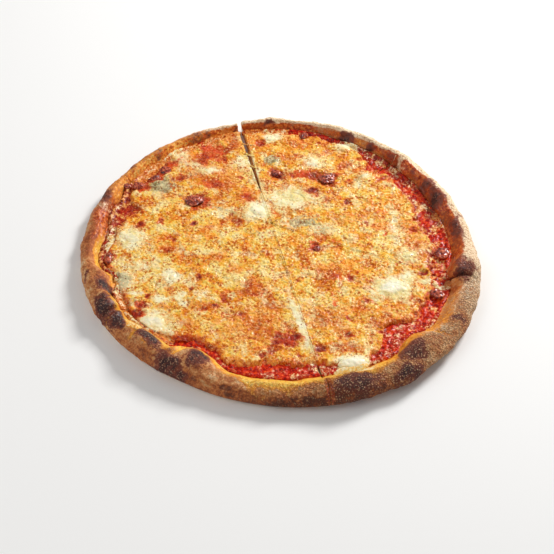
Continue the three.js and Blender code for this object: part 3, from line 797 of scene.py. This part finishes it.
# The cheese strings: melted cheese, stretched over the open cut at the back as a slice was pulled.
# Each is a thin round bar with a waist in its middle, and both ends are sunk into the cheese.
# A string is the x and y of its two ends and its radius in mm.
STRINGS = ((-30, 110, -21.5, 106, 1.3), (-25, 95, -18, 92, 0.8), (-33, 122, -24, 120, 0.7))
STRING_HEIGHT = 8.1 * MM
STRING_SAG = 1.2 * MM
WAIST = 0.45


def joined(parts, name):
    for part in parts:
        part.select_set(True)
    bpy.context.view_layer.objects.active = parts[0]
    bpy.ops.object.join()
    bpy.ops.object.transform_apply(location=True, rotation=True, scale=True)
    parts[0].name = name
    return parts[0]


bars = []
for x, y, far_x, far_y, radius in STRINGS:
    bpy.ops.object.select_all(action="DESELECT")
    length = math.hypot(far_x - x, far_y - y) * MM
    bpy.ops.mesh.primitive_cylinder_add(vertices=12, radius=radius * MM, depth=length)
    bar = bpy.context.active_object
    bpy.ops.object.mode_set(mode="EDIT")
    bpy.ops.mesh.subdivide(number_cuts=3, smoothness=0)
    bpy.ops.object.mode_set(mode="OBJECT")
    for point in bar.data.vertices:
        waist = WAIST + (1 - WAIST) * min(1, abs(point.co.z) / (0.5 * length)) ** 2
        point.co.x *= waist
        point.co.y = point.co.y * waist - STRING_SAG * (1 - waist)
    bar.rotation_euler = (math.radians(90), 0, math.atan2(far_y - y, far_x - x) + math.radians(90))
    bar.location = ((x + far_x) / 2 * MM, (y + far_y) / 2 * MM, STRING_HEIGHT)
    bars.append(bar)
strings = joined(bars, "cheese_strings")
shape_with(strings, "SUBSURF", levels=1, render_levels=1)
everywhere = np.ones(len(strings.data.vertices))
paint(strings, "white", 0.35 * everywhere)
paint(strings, "relief", 0.6 * everywhere)
strings.data.materials.append(cheese_finish)
bpy.ops.object.shade_smooth()
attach(strings, "root")


# The mozzarella and gorgonzola: torn pieces, half melted into the cheese around them.
# Each copy's edge is pressed down into the layer, and its top keeps a soft dome.
def press_in(node, name):
    lump = copy_of(node, name)
    shape_with(lump, "REMESH", mode="VOXEL", voxel_size=0.5 * MM)
    shape_with(lump, "SMOOTH", factor=0.5, iterations=4)
    points = points_of(lump)
    push(lump, "whole", np.ones(len(points)), -0.8, "Z")
    border = share_out(points, node) + 0.15 * uneven(points, 4)
    push(lump, "border", rise(border, 0.4, 1.1), -0.6, "Z")
    cheese_relief(lump, np.full(len(points), 0.8))
    paint_toppings(lump, points)
    lump.data.materials.append(cheese_finish)
    bpy.ops.object.shade_smooth()
    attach(lump, "root")
    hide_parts(node)
    return lump


for node in MELTED_PIECES:
    press_in(node, node.replace("_", "_piece_"))


# The sauce blisters: sauce that boiled up through the cheese and dried to dark, shiny domes.
# The two large ones are copies of their solids. The small ones are swollen balls, sunk into the
# cheese: each is its middle's x and y, its length and width, its turn and its height above it.
SMALL_BLISTERS = (
    (-100, 78, 9, 7, 0, 2.2), (-93, 88, 9, 9, 0, 2.2), (-113, 69, 11, 8, 15, 2.4),
    (-123, 69, 7, 7, 0, 2.2), (-4, 87, 9, 7, 0, 2), (118, -42, 12, 8, -20, 2.4),
    (124, 1, 11, 12, 0, 2.4), (28, 3, 6, 6, 0, 1.6), (18, 134, 8, 7, 0, 2),
    (-129, -13, 6, 12, 0, 2.2),
)
blister = Finish("blistered_sauce", Roughness=0.25, IOR=1.4, Coat_Weight=0.7, Coat_Roughness=0.05)
crusted = blister.mottle(2.4, 3, 0.85)
dark_red = blister.range_of(crusted, (0.4, "4a0a04"), (0.5, "a02810"), (0.62, "e87844"))
dried_gloss = blister.ease(crusted, 0.4, 0.6, 0.15, 0.45)
blister_finish = blister.done(dark_red, dried_gloss, blister.bumps(crusted, 1.4, 0.8))


def blistered(piece):
    shape_with(piece, "DISPLACE", texture=cheese_lumps, strength=2.4 * MM, mid_level=0.5)
    shape_with(piece, "DISPLACE", texture=cheese_crumbs, strength=1.4 * MM, mid_level=0.5)
    piece.data.materials.append(blister_finish)
    bpy.ops.object.shade_smooth()
    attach(piece, "root")


for node in LARGE_BLISTERS:
    dome = copy_of(node, node.replace("sauce", "large"))
    shape_with(dome, "REMESH", mode="VOXEL", voxel_size=0.4 * MM)
    shape_with(dome, "SMOOTH", factor=0.5, iterations=3)
    blistered(dome)
    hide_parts(node)

bpy.ops.object.select_all(action="DESELECT")
LAYER_TOP = 7 * MM
balls = []
for x, y, length, width, turn, height in SMALL_BLISTERS:
    bpy.ops.mesh.primitive_ico_sphere_add(
        subdivisions=4, radius=0.5 * MM, location=(x * MM, y * MM, LAYER_TOP),
        rotation=(0, 0, math.radians(turn)), scale=(length, width, height * 2))
    balls.append(bpy.context.active_object)
blisters = joined(balls, "small_blisters")
blistered(blisters)


# The studio: the pizza lies on a pale paper floor, seen through a long lens from the front.
# A window gives soft light from behind on the right, and a weaker lamp fills in from the left.
AIM = (-1.55 * MM, -21.2 * MM, 0)
CAMERA_DISTANCE = 1164 * MM
CAMERA_HEIGHT_ANGLE = 46
CAMERA_ROLL = 1.24

bpy.ops.mesh.primitive_plane_add(size=6, location=(0, 0, -0.2 * MM))
floor = bpy.context.active_object
floor.name = "floor"
paper = Finish("pale_floor", Roughness=0.9)
paper_waves = paper.bumps(paper.mottle(400), 0.01, 0.1)
floor.data.materials.append(paper.done(colour("f4f3f1"), 0.9, paper_waves))

bpy.ops.object.camera_add()
camera = bpy.context.active_object
camera.data.lens = 100
camera.data.sensor_width = 36
tilt = Matrix.Rotation(math.radians(90 - CAMERA_HEIGHT_ANGLE), 4, "X")
back = Matrix.Translation((0, 0, CAMERA_DISTANCE))
roll = Matrix.Rotation(math.radians(CAMERA_ROLL), 4, "Z")
camera.matrix_world = Matrix.Translation(AIM) @ tilt @ back @ roll
bpy.context.scene.camera = camera


def soft_light(name, place, size, power):
    bpy.ops.object.light_add(type="AREA", location=place)
    lamp = bpy.context.active_object
    lamp.name = name
    lamp.data.size = size
    lamp.data.energy = power
    lamp.rotation_euler = (-lamp.location).to_track_quat("-Z", "Y").to_euler()


soft_light("window", (0.8, 0.85, 0.85), 0.4, 21)
soft_light("fill", (-0.9, -0.5, 1.0), 1.0, 5)
world = bpy.data.worlds.new("studio")
world.use_nodes = True
world.node_tree.nodes["Background"].inputs[0].default_value = (1, 1, 1, 1)
world.node_tree.nodes["Background"].inputs[1].default_value = 0.35
bpy.context.scene.world = world
bpy.context.scene.view_settings.view_transform = "Standard"

bpy.context.view_layer.update()
